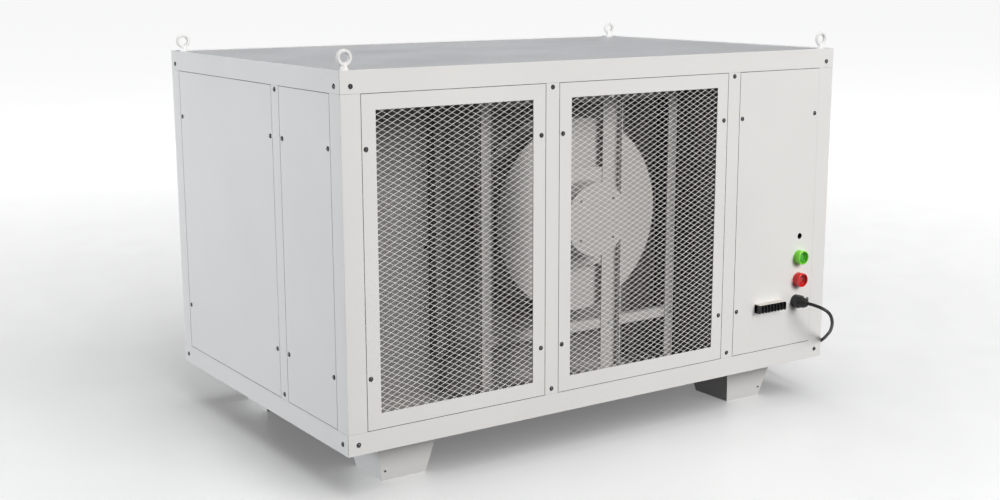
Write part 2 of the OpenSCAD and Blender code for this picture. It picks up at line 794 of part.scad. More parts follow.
coil_in = coil_r - coil_turns_wide * cable_d / 2;
coil_out = coil_r + coil_turns_wide * cable_d / 2;
module cable_coil() {
  color("#161616") translate([coil_middle[0], coil_middle[1], 0]) rotate_extrude($fn = 96)
    translate([coil_in, 0]) square([coil_out - coil_in, coil_turns_high * cable_d]);
}

// A moulded plug on the floor, in line with the coil's last turn: strain relief, body and three flat pins.
plug_tail = 30;
plug_at = [coil_middle[0] + coil_r + cable_d / 2, coil_middle[1] + 48, 0];
plug_size = [34, 44, 27];
module plug() {
  color("#161616") translate(plug_at) {
    translate([-plug_size[0] / 2, 0, 0]) cube(plug_size);
    translate([0, -plug_tail, plug_size[2] / 2]) rotate([-90, 0, 0])
      cylinder(r1 = 5, r2 = 9, h = plug_tail);
  }
  color(steel) translate(plug_at + [0, plug_size[1], plug_size[2] / 2])
    for (p = [[-6.5, 4], [6.5, 4], [0, -5]])
      translate([p[0] - 3, 0, p[1] - 0.8]) cube([6, 18, 1.6]);
}

// ---------- electrical compartment ----------
module control_plate() {
  x0 = 1165;
  x1 = 1435;
  y = bulkhead_y - 14;
  color(steel) cab() {
    block([x0, y, 200], [x1, y + t, 680]);
    for (x = [x0, x1 - t]) block([x, y + t, 200], [x + t, bulkhead_y, 680]);
    for (z = [300, 560]) block([x0 + 20, y - 8, z], [x1 - 20, y, z + 35]);
  }
}

module switchgear() {
  face = bulkhead_y - 22;
  color("#d0d2d4") cab() {
    block([1200, face - 85, 275], [1245, face, 360]);
    block([1205, face - 92, 295], [1240, face - 85, 340]);
    block([1270, face - 70, 275], [1324, face, 360]);
    block([1275, face - 76, 305], [1319, face - 70, 330]);
    block([1210, face - 60, 520], [1300, face, 630]);
  }
}

// ---------- wet section ----------
pad_y0 = D - 45 - pad_t;
pad_y1 = D - 45;
pad_z0 = 127;
pad_z1 = pad_z0 + pad_h;
pad_spans = [[70, fan_x - 5], [fan_x + 5, W - 70]];
module pad(span) { block([span[0], pad_y0, pad_z0], [span[1], pad_y1, pad_z1]); }
module pad_left() { color("#8a6a3c") cab() pad(pad_spans[0]); }
module pad_right() { color("#8a6a3c") cab() pad(pad_spans[1]); }

// Two channels hold the pads below and above.
channel_h = 25;
module channel(z, up) {
  low = up ? z - t : z - channel_h + t;
  block([2 * t, pad_y0 - t - 0.3, up ? z - t : z], [W - 2 * t, pad_y1 + t + 0.3, up ? z : z + t]);
  for (y = [pad_y0 - t - 0.3, pad_y1 + 0.3])
    block([2 * t, y, low], [W - 2 * t, y + t, low + channel_h]);
}
module pad_channels() {
  color(steel) cab() {
    channel(pad_z0, true);
    channel(pad_z1, false);
  }
}

sump_x = [60, 1420];
sump_y = [360, 926];
drain_x = 300;
drain_r = 16;
water_x = 1410;
water_r = 10.5;
fitting_z = 28;
rear_out = 23;
module sump() {
  top = pan_top + sump_h;
  color(steel) cab() difference() {
    block([sump_x[0], sump_y[0], pan_top], [sump_x[1], sump_y[1], top]);
    block([sump_x[0] + t, sump_y[0] + t, pan_top + t], [sump_x[1] - t, sump_y[1] - t, top + 1]);
    into(drain_x, fitting_z, sump_y[1] - t - 1) cylinder(r = drain_r + 0.3, h = t + 2);
  }
}

// Drain elbow: a socket for the standpipe in the tank and a spigot through the rear rail.
drain_y = 895;
module drain_spigot() {
  color("#e8e8e8") cab() difference() {
    union() {
      translate([drain_x, drain_y, pan_top + t]) cylinder(r = 20, h = 43);
      into(drain_x, fitting_z, drain_y) cylinder(r = drain_r, h = D + rear_out - drain_y);
      into(drain_x, fitting_z, D) cylinder(r = drain_r + 6, h = 3);
    }
    translate([drain_x, drain_y, 34]) cylinder(r = 14.2, h = 30);
    translate([drain_x, drain_y, fitting_z]) cylinder(r = 12, h = 30);
    into(drain_x, fitting_z, drain_y) cylinder(r = 12, h = 200);
  }
}
module overflow_pipe() {
  color("#f0f0ee") cab() translate([drain_x, drain_y, 34]) difference() {
    cylinder(r = 14, h = 48);
    translate([0, 0, -1]) cylinder(r = 11.5, h = 50);
  }
}

header_y = (pad_y0 + pad_y1) / 2;
header_r = 16;
header_z = pad_z1 + t + header_r;
riser_x = 1360;
riser_y = 470;
riser_r = 10;
module water_header() {
  color("#f0f0ee") cab() difference() {
    union() {
      translate([80, header_y, header_z]) rotate([0, 90, 0]) cylinder(r = header_r, h = W - 160);
      into(riser_x, header_z, header_y - 40) cylinder(r = 13, h = 40);
    }
    translate([83, header_y, header_z]) rotate([0, 90, 0]) cylinder(r = header_r - 2, h = W - 166);
    into(riser_x, header_z, header_y - 41) cylinder(r = riser_r + 0.1, h = 41);
  }
}

pump_top = 100;
module riser_pipe() {
  top_y = header_y - 22;
  color("#f0f0ee") cab() {
    translate([riser_x, riser_y, pump_top + 12]) cylinder(r = riser_r, h = header_z - pump_top - 12);
    translate([riser_x, riser_y, header_z]) sphere(r = riser_r);
    into(riser_x, header_z, riser_y) cylinder(r = riser_r, h = top_y - riser_y);
  }
}

// Submersible pump: a pump chamber under a closed motor can, with a spout on top.
pump_floor = pan_top + t + 8;
module pump_body() {
  color(dark_plastic) cab() translate([riser_x, riser_y, pump_floor]) difference() {
    union() {
      cylinder(r = 46, h = 28);
      translate([0, 0, 28]) cylinder(r = 38, h = pump_top - pump_floor - 28);
      translate([0, 0, pump_top - pump_floor]) cylinder(r = 13, h = 30);
      for (i = [0:3]) rotate(45 + 90 * i) translate([34, 0, -8]) cylinder(r = 5, h = 10);
    }
    translate([0, 0, 8]) cylinder(r = 30, h = 14);
    translate([0, 0, -1]) cylinder(r = 14, h = 10);
    translate([0, 0, 20]) cylinder(r = 3.05, h = 12);
    translate([0, 0, pump_top - pump_floor + 12]) cylinder(r = riser_r + 0.1, h = 20);
  }
}
module pump_impeller() {
  color("#303236") cab() translate([riser_x, riser_y, pump_floor + 10]) {
    cylinder(r = 27, h = 2);
    cylinder(r = 3, h = 18);
    for (i = [0:5]) rotate(i * 60) translate([2, -1, 2]) cube([24, 2, 6]);
  }
}

// Supply pipe: threaded nipple behind the cabinet, then up and forwards beside the tank.
supply_z = 112;
supply_y = 760;
supply_turn = 943;
pipe_r = 8;
module supply_run() {
  into(water_x, fitting_z, supply_turn) cylinder(r = pipe_r, h = D - supply_turn);
  into(water_x, fitting_z, D) cylinder(r = water_r + 5, h = 3, $fn = 6);
  into(water_x, fitting_z, D) cylinder(r = water_r, h = rear_out);
  translate([water_x, supply_turn, fitting_z]) sphere(r = pipe_r);
  translate([water_x, supply_turn, fitting_z]) cylinder(r = pipe_r, h = supply_z - fitting_z);
  translate([water_x, supply_turn, supply_z]) sphere(r = pipe_r);
  into(water_x, supply_z, supply_y + 12) cylinder(r = pipe_r, h = supply_turn - supply_y - 12);
}
module inlet_pipe() {
  color("#c7a04a") cab() difference() {
    supply_run();
    into(water_x, fitting_z, D - 4) cylinder(r = 6, h = 40);
  }
}

// Float valve: the body hangs over the tank and a two-eared bracket carries the float arm.
pivot_x = 1362;
ear_half = 4.5;
pin_r = 2.5;
module float_valve() {
  color("#c7a04a") cab() translate([0, supply_y, supply_z]) difference() {
    union() {
      translate([water_x, 0, 0]) rotate([-90, 0, 0]) cylinder(r = 13, h = 26, center = true, $fn = 6);
      translate([pivot_x + 12, 0, 0]) rotate([0, 90, 0]) cylinder(r = 9, h = water_x - pivot_x - 12);
      for (s = [-1, 1]) translate([pivot_x + 5, s * (ear_half + 1.5), 0]) cube([26, 3, 14], center = true);
      translate([pivot_x + 14, 0, 0]) cube([6, 2 * ear_half + 6, 14], center = true);
      translate([pivot_x, 0, 0]) rotate([90, 0, 0])
        cylinder(r = pin_r, h = 2 * ear_half + 2, center = true);
    }
    translate([water_x, 13, 0]) rotate([90, 0, 0]) cylinder(r = pipe_r + 0.1, h = 1);
  }
}

arm_l = 132;
arm_dip = 15;
ball_r = 30;
module at_float() { translate([pivot_x, supply_y, supply_z]) rotate([0, -arm_dip, 0]) children(); }
module float_arm() {
  color("#c7a04a") cab() at_float() difference() {
    union() {
      rotate([90, 0, 0]) cylinder(r = 6, h = 8, center = true);
      translate([-arm_l, 0, 0]) rotate([0, 90, 0]) cylinder(r = 2.5, h = arm_l - 4);
    }
    rotate([90, 0, 0]) cylinder(r = pin_r + 0.05, h = 20, center = true);
  }
}
module float_ball() {
  color("#c4382c") cab() at_float() translate([-arm_l - ball_r + 8, 0, 0]) difference() {
    sphere(r = ball_r);
    translate([ball_r - 8, 0, 0]) rotate([0, 90, 0]) cylinder(r = 2.5, h = 20);
  }
}

feet();
base_pan();
bottom_rails();
top_rails();
corner_brackets();
corner_posts();
front_post_left();
front_post_right();
side_posts();
rear_post();
top_panel();
side_panel_left_front();
side_panel_left_rear();
side_panel_right_front();
side_panel_right_rear();
grille_frame_left();
grille_frame_right();
grille_mesh_left();
grille_mesh_right();
control_door();
bulkhead();
partition();
inlet_box();
inlet_ring();
fan_wheel();
fan_shaft();
motor();
motor_plate();
motor_rails();
fan_posts();
crossbars();
lifting_eyes();
cabinet_screws();
fan_bolts();
start_button();
stop_button();
switch_bodies();
terminal_block();
cable_gland();
power_cable();
cable_coil();
plug();
control_plate();
switchgear();
intake_louvre_left();
intake_louvre_right();
pad_left();
pad_right();
pad_channels();
sump();
water_header();
riser_pipe();
pump_body();
pump_impeller();
inlet_pipe();
float_valve();
float_arm();
float_ball();
drain_spigot();
overflow_pipe();
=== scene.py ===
"""Looks of the air cooler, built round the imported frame. Metres; +Z up, the front faces -Y."""
import json
import math

import bmesh
import bpy
from mathutils import Matrix, Vector


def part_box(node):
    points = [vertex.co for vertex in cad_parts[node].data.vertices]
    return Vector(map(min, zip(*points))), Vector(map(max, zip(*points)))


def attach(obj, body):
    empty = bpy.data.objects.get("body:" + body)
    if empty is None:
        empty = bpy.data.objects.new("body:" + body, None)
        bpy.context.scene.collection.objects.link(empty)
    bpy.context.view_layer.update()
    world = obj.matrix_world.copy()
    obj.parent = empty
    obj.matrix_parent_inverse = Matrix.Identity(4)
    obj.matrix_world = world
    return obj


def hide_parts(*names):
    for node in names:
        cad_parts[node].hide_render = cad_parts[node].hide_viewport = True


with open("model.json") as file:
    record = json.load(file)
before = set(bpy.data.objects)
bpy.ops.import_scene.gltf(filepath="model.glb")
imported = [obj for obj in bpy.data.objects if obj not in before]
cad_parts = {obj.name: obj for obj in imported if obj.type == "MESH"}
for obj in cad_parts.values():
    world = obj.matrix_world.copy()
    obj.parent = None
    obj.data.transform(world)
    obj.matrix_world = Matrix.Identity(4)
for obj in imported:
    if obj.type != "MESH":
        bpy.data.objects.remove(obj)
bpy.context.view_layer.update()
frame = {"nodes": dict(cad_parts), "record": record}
NODES = frame["nodes"]
CABINET = "cabinet"
MM = 0.001
SLOT_OF = {s["node"]: s["material_slot"] for s in frame["record"]["subparts"]}
BODY_OF = {n: body for body, names in frame["record"]["behaviour"]["bodies"].items() for n in names}


# ---------- camera ----------
def make_camera():
    """A 50 mm lens at the photograph's place, given by its heading, pitch and roll."""
    heading, pitch, roll = 0.5917, -0.1972, -0.0026
    level = math.cos(pitch)
    forward = Vector((math.sin(heading) * level, math.cos(heading) * level, math.sin(pitch)))
    right = Vector((math.cos(heading), -math.sin(heading), 0))
    up = right.cross(forward)
    turned_right = right * math.cos(roll) + up * math.sin(roll)
    turned_up = up * math.cos(roll) - right * math.sin(roll)
    data = bpy.data.cameras.new("camera")
    data.lens = 50
    data.sensor_width = 36
    camera = bpy.data.objects.new("camera", data)
    bpy.context.scene.collection.objects.link(camera)
    basis = Matrix((turned_right, turned_up, -forward)).transposed()
    camera.matrix_world = Matrix.Translation((-2.0892, -3.0890, 1.1644)) @ basis.to_4x4()
    bpy.context.scene.camera = camera


# ---------- materials ----------
class Nodes:
    """A material under construction: a Principled surface and helpers that add nodes to it."""

    def __init__(self, name):
        self.material = bpy.data.materials.new(name)
        self.material.use_nodes = True
        self.tree = self.material.node_tree
        self.surface = self.tree.nodes["Principled BSDF"]
        self.place = self.tree.nodes.new("ShaderNodeTexCoord").outputs["Object"]

    def set(self, **values):
        for key, value in values.items():
            self.surface.inputs[key.replace("_", " ")].default_value = value

    def link(self, source, socket):
        self.tree.links.new(source, self.surface.inputs[socket])

    def noise(self, scale, detail=2.0, stretch=(1, 1, 1)):
        mapping = self.tree.nodes.new("ShaderNodeMapping")
        mapping.inputs["Scale"].default_value = stretch
        self.tree.links.new(self.place, mapping.inputs["Vector"])
        texture = self.tree.nodes.new("ShaderNodeTexNoise")
        texture.inputs["Scale"].default_value = scale
        texture.inputs["Detail"].default_value = detail
        self.tree.links.new(mapping.outputs["Vector"], texture.inputs["Vector"])
        return texture.outputs["Fac"]

    def wave(self, scale, direction):
        texture = self.tree.nodes.new("ShaderNodeTexWave")
        texture.bands_direction = direction
        texture.inputs["Scale"].default_value = scale
        self.tree.links.new(self.place, texture.inputs["Vector"])
        return texture.outputs["Fac"]

    def spread(self, source, low, high, start=0.3, end=0.7):
        """Maps source from start..end to low..high."""
        node = self.tree.nodes.new("ShaderNodeMapRange")
        self.tree.links.new(source, node.inputs["Value"])
        for key, value in (("From Min", start), ("From Max", end), ("To Min", low), ("To Max", high)):
            node.inputs[key].default_value = value
        return node.outputs["Result"]

    def ramp(self, source, *stops):
        """A colour ramp; each stop is (position, colour)."""
        node = self.tree.nodes.new("ShaderNodeValToRGB")
        elements = node.color_ramp.elements
        while len(elements) < len(stops):
            elements.new(0.5)
        for element, (position, colour) in zip(elements, stops):
            element.position = position
            element.color = (*colour, 1)
        self.tree.links.new(source, node.inputs["Fac"])
        return node.outputs["Color"]

    def edges(self, colour, highlight_tone, amount):
        """Mixes the outer edges of a colour output towards a given tone: a painted edge highlight where that
        tone is lighter.
        """
        geometry = self.tree.nodes.new("ShaderNodeNewGeometry")
        share = self.spread(geometry.outputs["Pointiness"], 0, amount, 0.5, 0.56)
        mix = self.tree.nodes.new("ShaderNodeMix")
        mix.data_type = "RGBA"
        factor, first, second, result = mix.inputs[0], mix.inputs[6], mix.inputs[7], mix.outputs[2]
        self.tree.links.new(share, factor)
        self.tree.links.new(colour, first)
        second.default_value = (*highlight_tone, 1)
        return result

    def bump(self, source, height, strength=1.0):
        node = self.tree.nodes.new("ShaderNodeBump")
        node.inputs["Strength"].default_value = strength
        node.inputs["Distance"].default_value = height
        self.tree.links.new(source, node.inputs["Height"])
        self.link(node.outputs["Normal"], "Normal")


def tint(colour, factor):
    return tuple(min(1.0, c * factor) for c in colour)


def painted(name, colour, rough, grain=1400, height=0.00004, vary=0.02):
    """Powder coat: a fine orange peel, with slow changes of tone and gloss over a panel."""
    m = Nodes(name)
    slow = m.noise(3.1, 3)
    m.link(m.ramp(slow, (0.3, tint(colour, 1 - vary)), (0.7, tint(colour, 1 + vary))), "Base Color")
    m.link(m.spread(m.noise(11, 4), rough - 0.05, rough + 0.06), "Roughness")
    m.bump(m.noise(grain, 1.5), height)
    return m.material


def roof_paint():
    """A matt coat with a fine visible grain."""
    m = Nodes("roof_paint")
    grain = m.noise(420, 4)
    tones = (0.34, (0.38, 0.385, 0.40)), (0.52, (0.50, 0.505, 0.52)), (0.66, (0.64, 0.645, 0.66))
    m.link(m.ramp(grain, *tones), "Base Color")
    m.link(m.spread(m.noise(5, 3), 0.34, 0.5), "Roughness")
    m.bump(grain, 0.0001, 0.6)
    return m.material


def brushed(name, colour, rough, stretch):
    """Metal with fine lines along its rolling or turning direction."""
    m = Nodes(name)
    lines = m.noise(60, 5, stretch)
    m.link(m.ramp(lines, (0.3, tint(colour, 0.86)), (0.7, tint(colour, 1.08))), "Base Color")
    m.link(m.spread(lines, rough - 0.07, rough + 0.1), "Roughness")
    m.set(Metallic=1.0)
    m.bump(lines, 0.00003)
    return m.material


def zinc():
    """Zinc plate with its soft crystal pattern."""
    m = Nodes("zinc")
    voronoi = m.tree.nodes.new("ShaderNodeTexVoronoi")
    voronoi.inputs["Scale"].default_value = 130
    m.tree.links.new(m.place, voronoi.inputs["Vector"])
    tones = (0.2, (0.42, 0.43, 0.45)), (0.8, (0.62, 0.63, 0.65))
    m.link(m.ramp(voronoi.outputs["Color"], *tones), "Base Color")
    m.link(m.spread(m.noise(60, 3), 0.28, 0.45), "Roughness")
    m.set(Metallic=1.0)
    m.bump(m.noise(900, 2), 0.00002)
    return m.material


def shaded_screw_metal():
    """Screw metal whose colour is darkened as painted shade, so the heads read dark; it still mirrors the
    lights.
    """
    m = Nodes("screw_chrome")
    m.link(m.ramp(m.noise(260, 3), (0.3, (0.05, 0.052, 0.055)), (0.7, (0.09, 0.092, 0.096))), "Base Color")
    m.link(m.spread(m.noise(700, 2), 0.12, 0.24), "Roughness")
    m.set(Metallic=1.0)
    m.bump(m.noise(1500, 2), 0.00001)
    return m.material


def moulded(name, colour, rough, grain=2600, height=0.00006, highlight_tone=None):
    """Moulded plastic with a fine spark-eroded grain; the optional edge tone is a painted highlight on its
    outer edges.
    """
    m = Nodes(name)
    tone = m.ramp(m.noise(24, 3), (0.3, tint(colour, 0.88)), (0.7, tint(colour, 1.12)))
    m.link(m.edges(tone, highlight_tone, 0.5) if highlight_tone else tone, "Base Color")
    m.link(m.spread(m.noise(90, 3), rough - 0.06, rough + 0.08), "Roughness")
    m.bump(m.noise(grain, 2), height)
    return m.material


def lens(name, colour, deep, rim):
    """Clear tinted plastic, its tint varying at random between deep and clear, with a painted highlight at its
    rims; the whole tone, highlight included, also glows faintly. Faint moulding lines.
    """
    m = Nodes(name)
    tone = m.edges(m.ramp(m.noise(40, 2), (0.3, deep), (0.7, colour)), rim, 0.9)
    m.link(tone, "Base Color")
    m.link(tone, "Emission Color")
    m.link(m.spread(m.noise(300, 2), 0.06, 0.14), "Roughness")
    m.set(Transmission_Weight=0.12, IOR=1.49, Emission_Strength=0.06, Coat_Weight=0.2, Coat_Roughness=0.04)
    m.bump(m.wave(400, "Y"), 0.00003)
    return m.material


def cable_sheath():
    """Black sheath, faintly ribbed by the cores laid up inside it."""
    m = Nodes("cable_rubber")
    m.link(m.ramp(m.noise(45, 3), (0.3, (0.004, 0.004, 0.004)), (0.7, (0.008, 0.008, 0.008))), "Base Color")
    m.link(m.spread(m.noise(70, 4), 0.28, 0.42), "Roughness")
    m.bump(m.noise(600, 3, (1, 1, 0.2)), 0.00008)
    return m.material


def pad_paper():
    """Wetted cellulose paper: brown, blotched by scale, with fibres."""
    m = Nodes("pad_paper")
    blotch = m.noise(9, 6)
    tones = (0.3, (0.16, 0.095, 0.04)), (0.55, (0.33, 0.21, 0.10)), (0.75, (0.48, 0.36, 0.22))
    m.link(m.ramp(blotch, *tones), "Base Color")
    m.set(Roughness=0.92)
    m.bump(m.noise(800, 5, (1, 1, 5)), 0.0003)
    return m.material


def make_materials():
    return {
        "white_paint": painted("white_paint", (0.80, 0.795, 0.785), 0.36),
        "roof_paint": roof_paint(),
        "inner_paint": painted("inner_paint", (0.50, 0.487, 0.473), 0.5, 900, 0.00006, 0.04),
        # A darker grey for the walls behind the fan: painted shade, standing for the shadow they lie in.
        "shade_grey_paint": painted("shade_grey_paint", (0.235, 0.228, 0.226), 0.55, 900, 0.00006, 0.05),
        "mesh_paint": painted("mesh_paint", (0.77, 0.765, 0.75), 0.4, 1800, 0.00004, 0.04),
        "zinc": zinc(),
        "screw_chrome": shaded_screw_metal(),
        "shaft_steel": brushed("shaft_steel", (0.55, 0.55, 0.56), 0.25, (1, 40, 1)),
        "stainless": brushed("stainless", (0.58, 0.59, 0.60), 0.3, (1, 30, 30)),
        # Black plastic with a painted highlight on its outer edges.
        "black_plastic": moulded("black_plastic", (0.006, 0.006, 0.0065), 0.42, highlight_tone=(0.025, 0.025, 0.027)),
        # The last colour given to each lens is its painted rim highlight.
        "lens_green": lens("lens_green", (0.09, 0.62, 0.005), (0.025, 0.30, 0.002), (0.32, 0.95, 0.05)),
        "lens_red": lens("lens_red", (0.62, 0.004, 0.006), (0.28, 0.001, 0.002), (0.95, 0.035, 0.03)),
        "terminal_ivory": moulded("terminal_ivory", (0.66, 0.63, 0.58), 0.45),
        "grey_plastic": moulded("grey_plastic", (0.58, 0.59, 0.60), 0.45),
        "pipe_plastic": moulded("pipe_plastic", (0.74, 0.74, 0.72), 0.3, 300, 0.00004),
        "cable_rubber": cable_sheath(),
        "pad_paper": pad_paper(),
        "brass": brushed("brass", (0.62, 0.42, 0.16), 0.28, (1, 1, 12)),
        "float_plastic": moulded("float_plastic", (0.58, 0.06, 0.04), 0.28, 500, 0.00003),
    }


MATERIALS = {}


# ---------- geometry ----------
def frame_of(axis):
    """Two directions square to axis, and axis itself, as a matrix of columns."""
    axis = Vector(axis).normalized()
    side = Vector((1, 0, 0)) if abs(axis.x) < 0.9 else Vector((0, 0, 1))
    side = (side - axis * side.dot(axis)).normalized()
    return Matrix((side, axis.cross(side), axis)).transposed()


class Shape:
    """Collects the faces of one piece."""

    def __init__(self):
        self.mesh = bmesh.new()

    def block(self, low, high):
        xs, ys, zs = zip(low, high)
        corners = [self.mesh.verts.new((x, y, z)) for x in xs for y in ys for z in zs]
        sides = (0, 1, 3, 2), (4, 6, 7, 5), (0, 4, 5, 1), (2, 3, 7, 6), (0, 2, 6, 4), (1, 5, 7, 3)
        for side in sides:
            self.mesh.faces.new([corners[i] for i in side])

    def loft(self, rings, loop=False):
        """Joins rings of points, each with the same number of points; loop also joins the last to the first."""
        made = [[self.mesh.verts.new(p) for p in ring] for ring in rings]
        pairs = list(zip(made, made[1:])) + ([(made[-1], made[0])] if loop else [])
        for one, two in pairs:
            for i in range(len(one)):
                j = (i + 1) % len(one)
                self.mesh.faces.new((one[i], one[j], two[j], two[i]))
        if not loop:
            self.mesh.faces.new(made[0][::-1])
            self.mesh.faces.new(made[-1])

    def lathe(self, origin, axis, profile, steps, flute=None):
        """Turns a profile of (radius, distance along axis); flute(angle, distance) scales the radius."""
        basis = frame_of(axis)
        rings = []
        for radius, distance in profile:
            ring = []
            for k in range(steps):
                angle = math.tau * k / steps
                r = radius * (flute(angle, distance) if flute else 1)
                point = Vector((r * math.cos(angle), r * math.sin(angle), distance))
                ring.append(Vector(origin) + basis @ point)
            rings.append(ring)
        self.loft(rings)

    def made(self, name, slot, body=CABINET, nodes=(), bevel=0.0, smooth=40):
        """Turns what was collected into a piece."""
        bmesh.ops.recalc_face_normals(self.mesh, faces=self.mesh.faces)
        data = bpy.data.meshes.new(name)
        self.mesh.to_mesh(data)
        self.mesh.free()
        return as_piece(name, data, slot, body, nodes, bevel, smooth)


def as_piece(name, data, slot, body, nodes, bevel, smooth):
    piece = bpy.data.objects.new(name, data)
    bpy.context.scene.collection.objects.link(piece)
    data.materials.clear()
    data.materials.append(MATERIALS[slot])
    for polygon in data.polygons:
        polygon.use_smooth = True
    data.set_sharp_from_angle(angle=math.radians(smooth))
    if bevel:
        rounding = piece.modifiers.new("rounding", "BEVEL")
        rounding.width = bevel
        rounding.segments = 2
        rounding.limit_method = "ANGLE"
        rounding.angle_limit = math.radians(smooth)
        rounding.harden_normals = True
        rounding.use_clamp_overlap = True
    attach(piece, body)
    if nodes:
        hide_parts(*nodes)
    return piece


def rounded_copy(node, bevel, slot):
    """The CAD solid again, with its edges rounded as bent, deburred and painted metal has them."""
    mesh = bmesh.new()
    mesh.from_mesh(NODES[node].data)
    bmesh.ops.remove_doubles(mesh, verts=mesh.verts, dist=0.00002)
    bmesh.ops.dissolve_limit(mesh, angle_limit=math.radians(0.4), verts=mesh.verts, edges=mesh.edges)
    bmesh.ops.recalc_face_normals(mesh, faces=mesh.faces)
    data = bpy.data.meshes.new(node + "_skin")
    mesh.to_mesh(data)
    mesh.free()
    return as_piece(node + "_skin", data, slot, BODY_OF[node], [node], bevel, 32)


def middle(node):
    low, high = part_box(node)
    return (low + high) / 2


# ---------- power cable ----------
CABLE_D = 0.009
CABLE_ROUTE = [
    (632, -525, 286), (635, -537, 286), (641, -551, 283), (650, -562, 278), (662, -570, 269),
    (674, -572, 256), (685, -568, 238), (696, -558, 223), (708, -544, 208), (721, -528, 195),
    (731, -510, 181), (740, -493, 168), (747.5, -475, 156), (752, -453, 142), (756, -430, 127),
    (760, -405, 111), (764, -379, 96), (769, -351, 82), (775, -322, 68), (782, -292, 54),
    (790, -262, 40), (799, -232, 28), (808, -201, 18), (818, -169, 10), (828, -136, 6),
    (838, -102, 5), (847, -68, 5), (855, -32, 5), (861, 4, 5), (865, 32, 5), (867, 58, 5),
]
COIL_MIDDLE = Vector((0.810, 0.058, 0))
COIL_R = 0.052
COIL_TURNS = 3


def between(a, b, c, d, u):
    """The point at share u of the way from b to c on a smooth curve through a, b, c and d."""
    square = 2 * a - 5 * b + 4 * c - d
    cube = 3 * b - a - 3 * c + d
    return 0.5 * (2 * b + (c - a) * u + square * u ** 2 + cube * u ** 3)


def smooth_line(points, steps):
    last = len(points) - 1
    line = []
    for i in range(last):
        near = [points[max(i - 1, 0)], points[i], points[i + 1], points[min(i + 2, last)]]
        line += [between(*near, k / steps) for k in range(steps)]
    return line + [points[last]]


def ease(angle, start, low, high, width=80):
    """Goes smoothly from low to high as angle passes from start to start + width."""
    u = min(max((angle - start) / width, 0), 1)
    return low + (high - low) * u * u * (3 - 2 * u)


def coil_point(angle):
    """Outer turn, inner turn, up to the second layer, and out again."""
    half = CABLE_D / 2
    radius = COIL_R + ease(angle, 230, half, -half) + ease(angle, 770, 0, CABLE_D)
    height = ease(angle, 500, 0.005, 0.0138)
    turn = math.radians(angle)
    return COIL_MIDDLE + Vector((radius * math.cos(turn), radius * math.sin(turn), height))


def make_cable():
    points = [Vector(p) * MM for p in CABLE_ROUTE]
    line = smooth_line(points, 6)
    line += [coil_point(a) for a in range(8, 360 * COIL_TURNS + 1, 8)]
    end = line[-1]
    line += [end + Vector((0, 0.01 * i, 0)) for i in (1, 2)]
    curve = bpy.data.curves.new("power_cable_sheath", "CURVE")
    curve.dimensions = "3D"
    curve.bevel_depth = CABLE_D / 2
    curve.bevel_resolution = 5
    curve.use_fill_caps = True
    spline = curve.splines.new("POLY")
    spline.points.add(len(line) - 1)
    for target, point in zip(spline.points, line):
        target.co = (*point, 1)
    cable = bpy.data.objects.new("power_cable_sheath", curve)
    bpy.context.scene.collection.objects.link(cable)
    curve.materials.append(MATERIALS["cable_rubber"])
    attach(cable, CABINET)
    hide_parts("power_cable", "cable_coil")
    length = sum((b - a).length for a, b in zip(line, line[1:]))
    return cable, line[0], length


# ---------- controls ----------
def make_gland():
    """Hexagon body on its sealing washer, with a slotted tapered clamping dome."""
    low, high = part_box("cable_gland")
    centre = Vector((middle("cable_gland").x, DOOR_FACE, middle("cable_gland").z))
    outwards = (0, -1, 0)
    shape = Shape()
    corner = (high.x - low.x) / 2
    hexagon = [(0.93, 0.0015), (1.0, 0.0030), (1.0, 0.0215), (0.90, 0.024)]
    shape.lathe(centre, outwards, [(corner * share, y) for share, y in hexagon], 6)
    shape.lathe(centre, outwards, [(0.0172, 0), (0.0176, 0.0004), (0.0176, 0.0016), (0.0170, 0.002)], 48)
    dome = [(0.0140, 0.0235), (0.0146, 0.0245), (0.0146, 0.0285), (0.0138, 0.0325), (0.0122, 0.0370),
            (0.0102, 0.0410), (0.0080, 0.0440), (0.0068, 0.0450)]

    def claws(angle, distance):
        depth = 0.07 * min(1, max(0, (distance - 0.026) / 0.006))
        return 1 - depth * max(0, math.cos(6 * angle)) ** 6

    shape.lathe(centre, outwards, dome, 96, flute=claws)
    inside = (0, 1, 0)
    shape.lathe(centre, inside, [(0.0098, -0.001), (0.0098, 0.0135), (0.0090, 0.014)], 32)
    shape.lathe(centre, inside, [(0.0148, 0.0022), (0.0150, 0.003), (0.0150, 0.0072), (0.0145, 0.008)], 6)
    shape.made("cable_gland_body", "black_plastic", nodes=["cable_gland"], bevel=0.0006, smooth=35)


def make_lens_cap(node, name):
    """A thick-rimmed cup with a stepped recess and a groove near the door."""
    centre = Vector((middle(node).x, DOOR_FACE, middle(node).z))
    profile = [
        (10.6, 7.6), (11.4, 8.0), (12.8, 12.2), (14.6, 12.4), (15.0, 13.0), (15.2, 18.6), (15.9, 19.7),
        (17.2, 20.0), (18.4, 19.5), (19.0, 18.2), (19.0, 7.4), (18.5, 7.0), (18.5, 6.4), (19.0, 6.0),
        (19.0, -9.6), (18.6, -10.0), (8.2, -10.0), (8.0, -10.3), (8.0, -13.6), (7.6, -14.0),
    ]
    shape = Shape()
    shape.lathe(centre, (0, -1, 0), [(r * MM, d * MM) for r, d in profile], 72)
    shape.made(name, SLOT_OF[node], BODY_OF[node], [node], smooth=50)


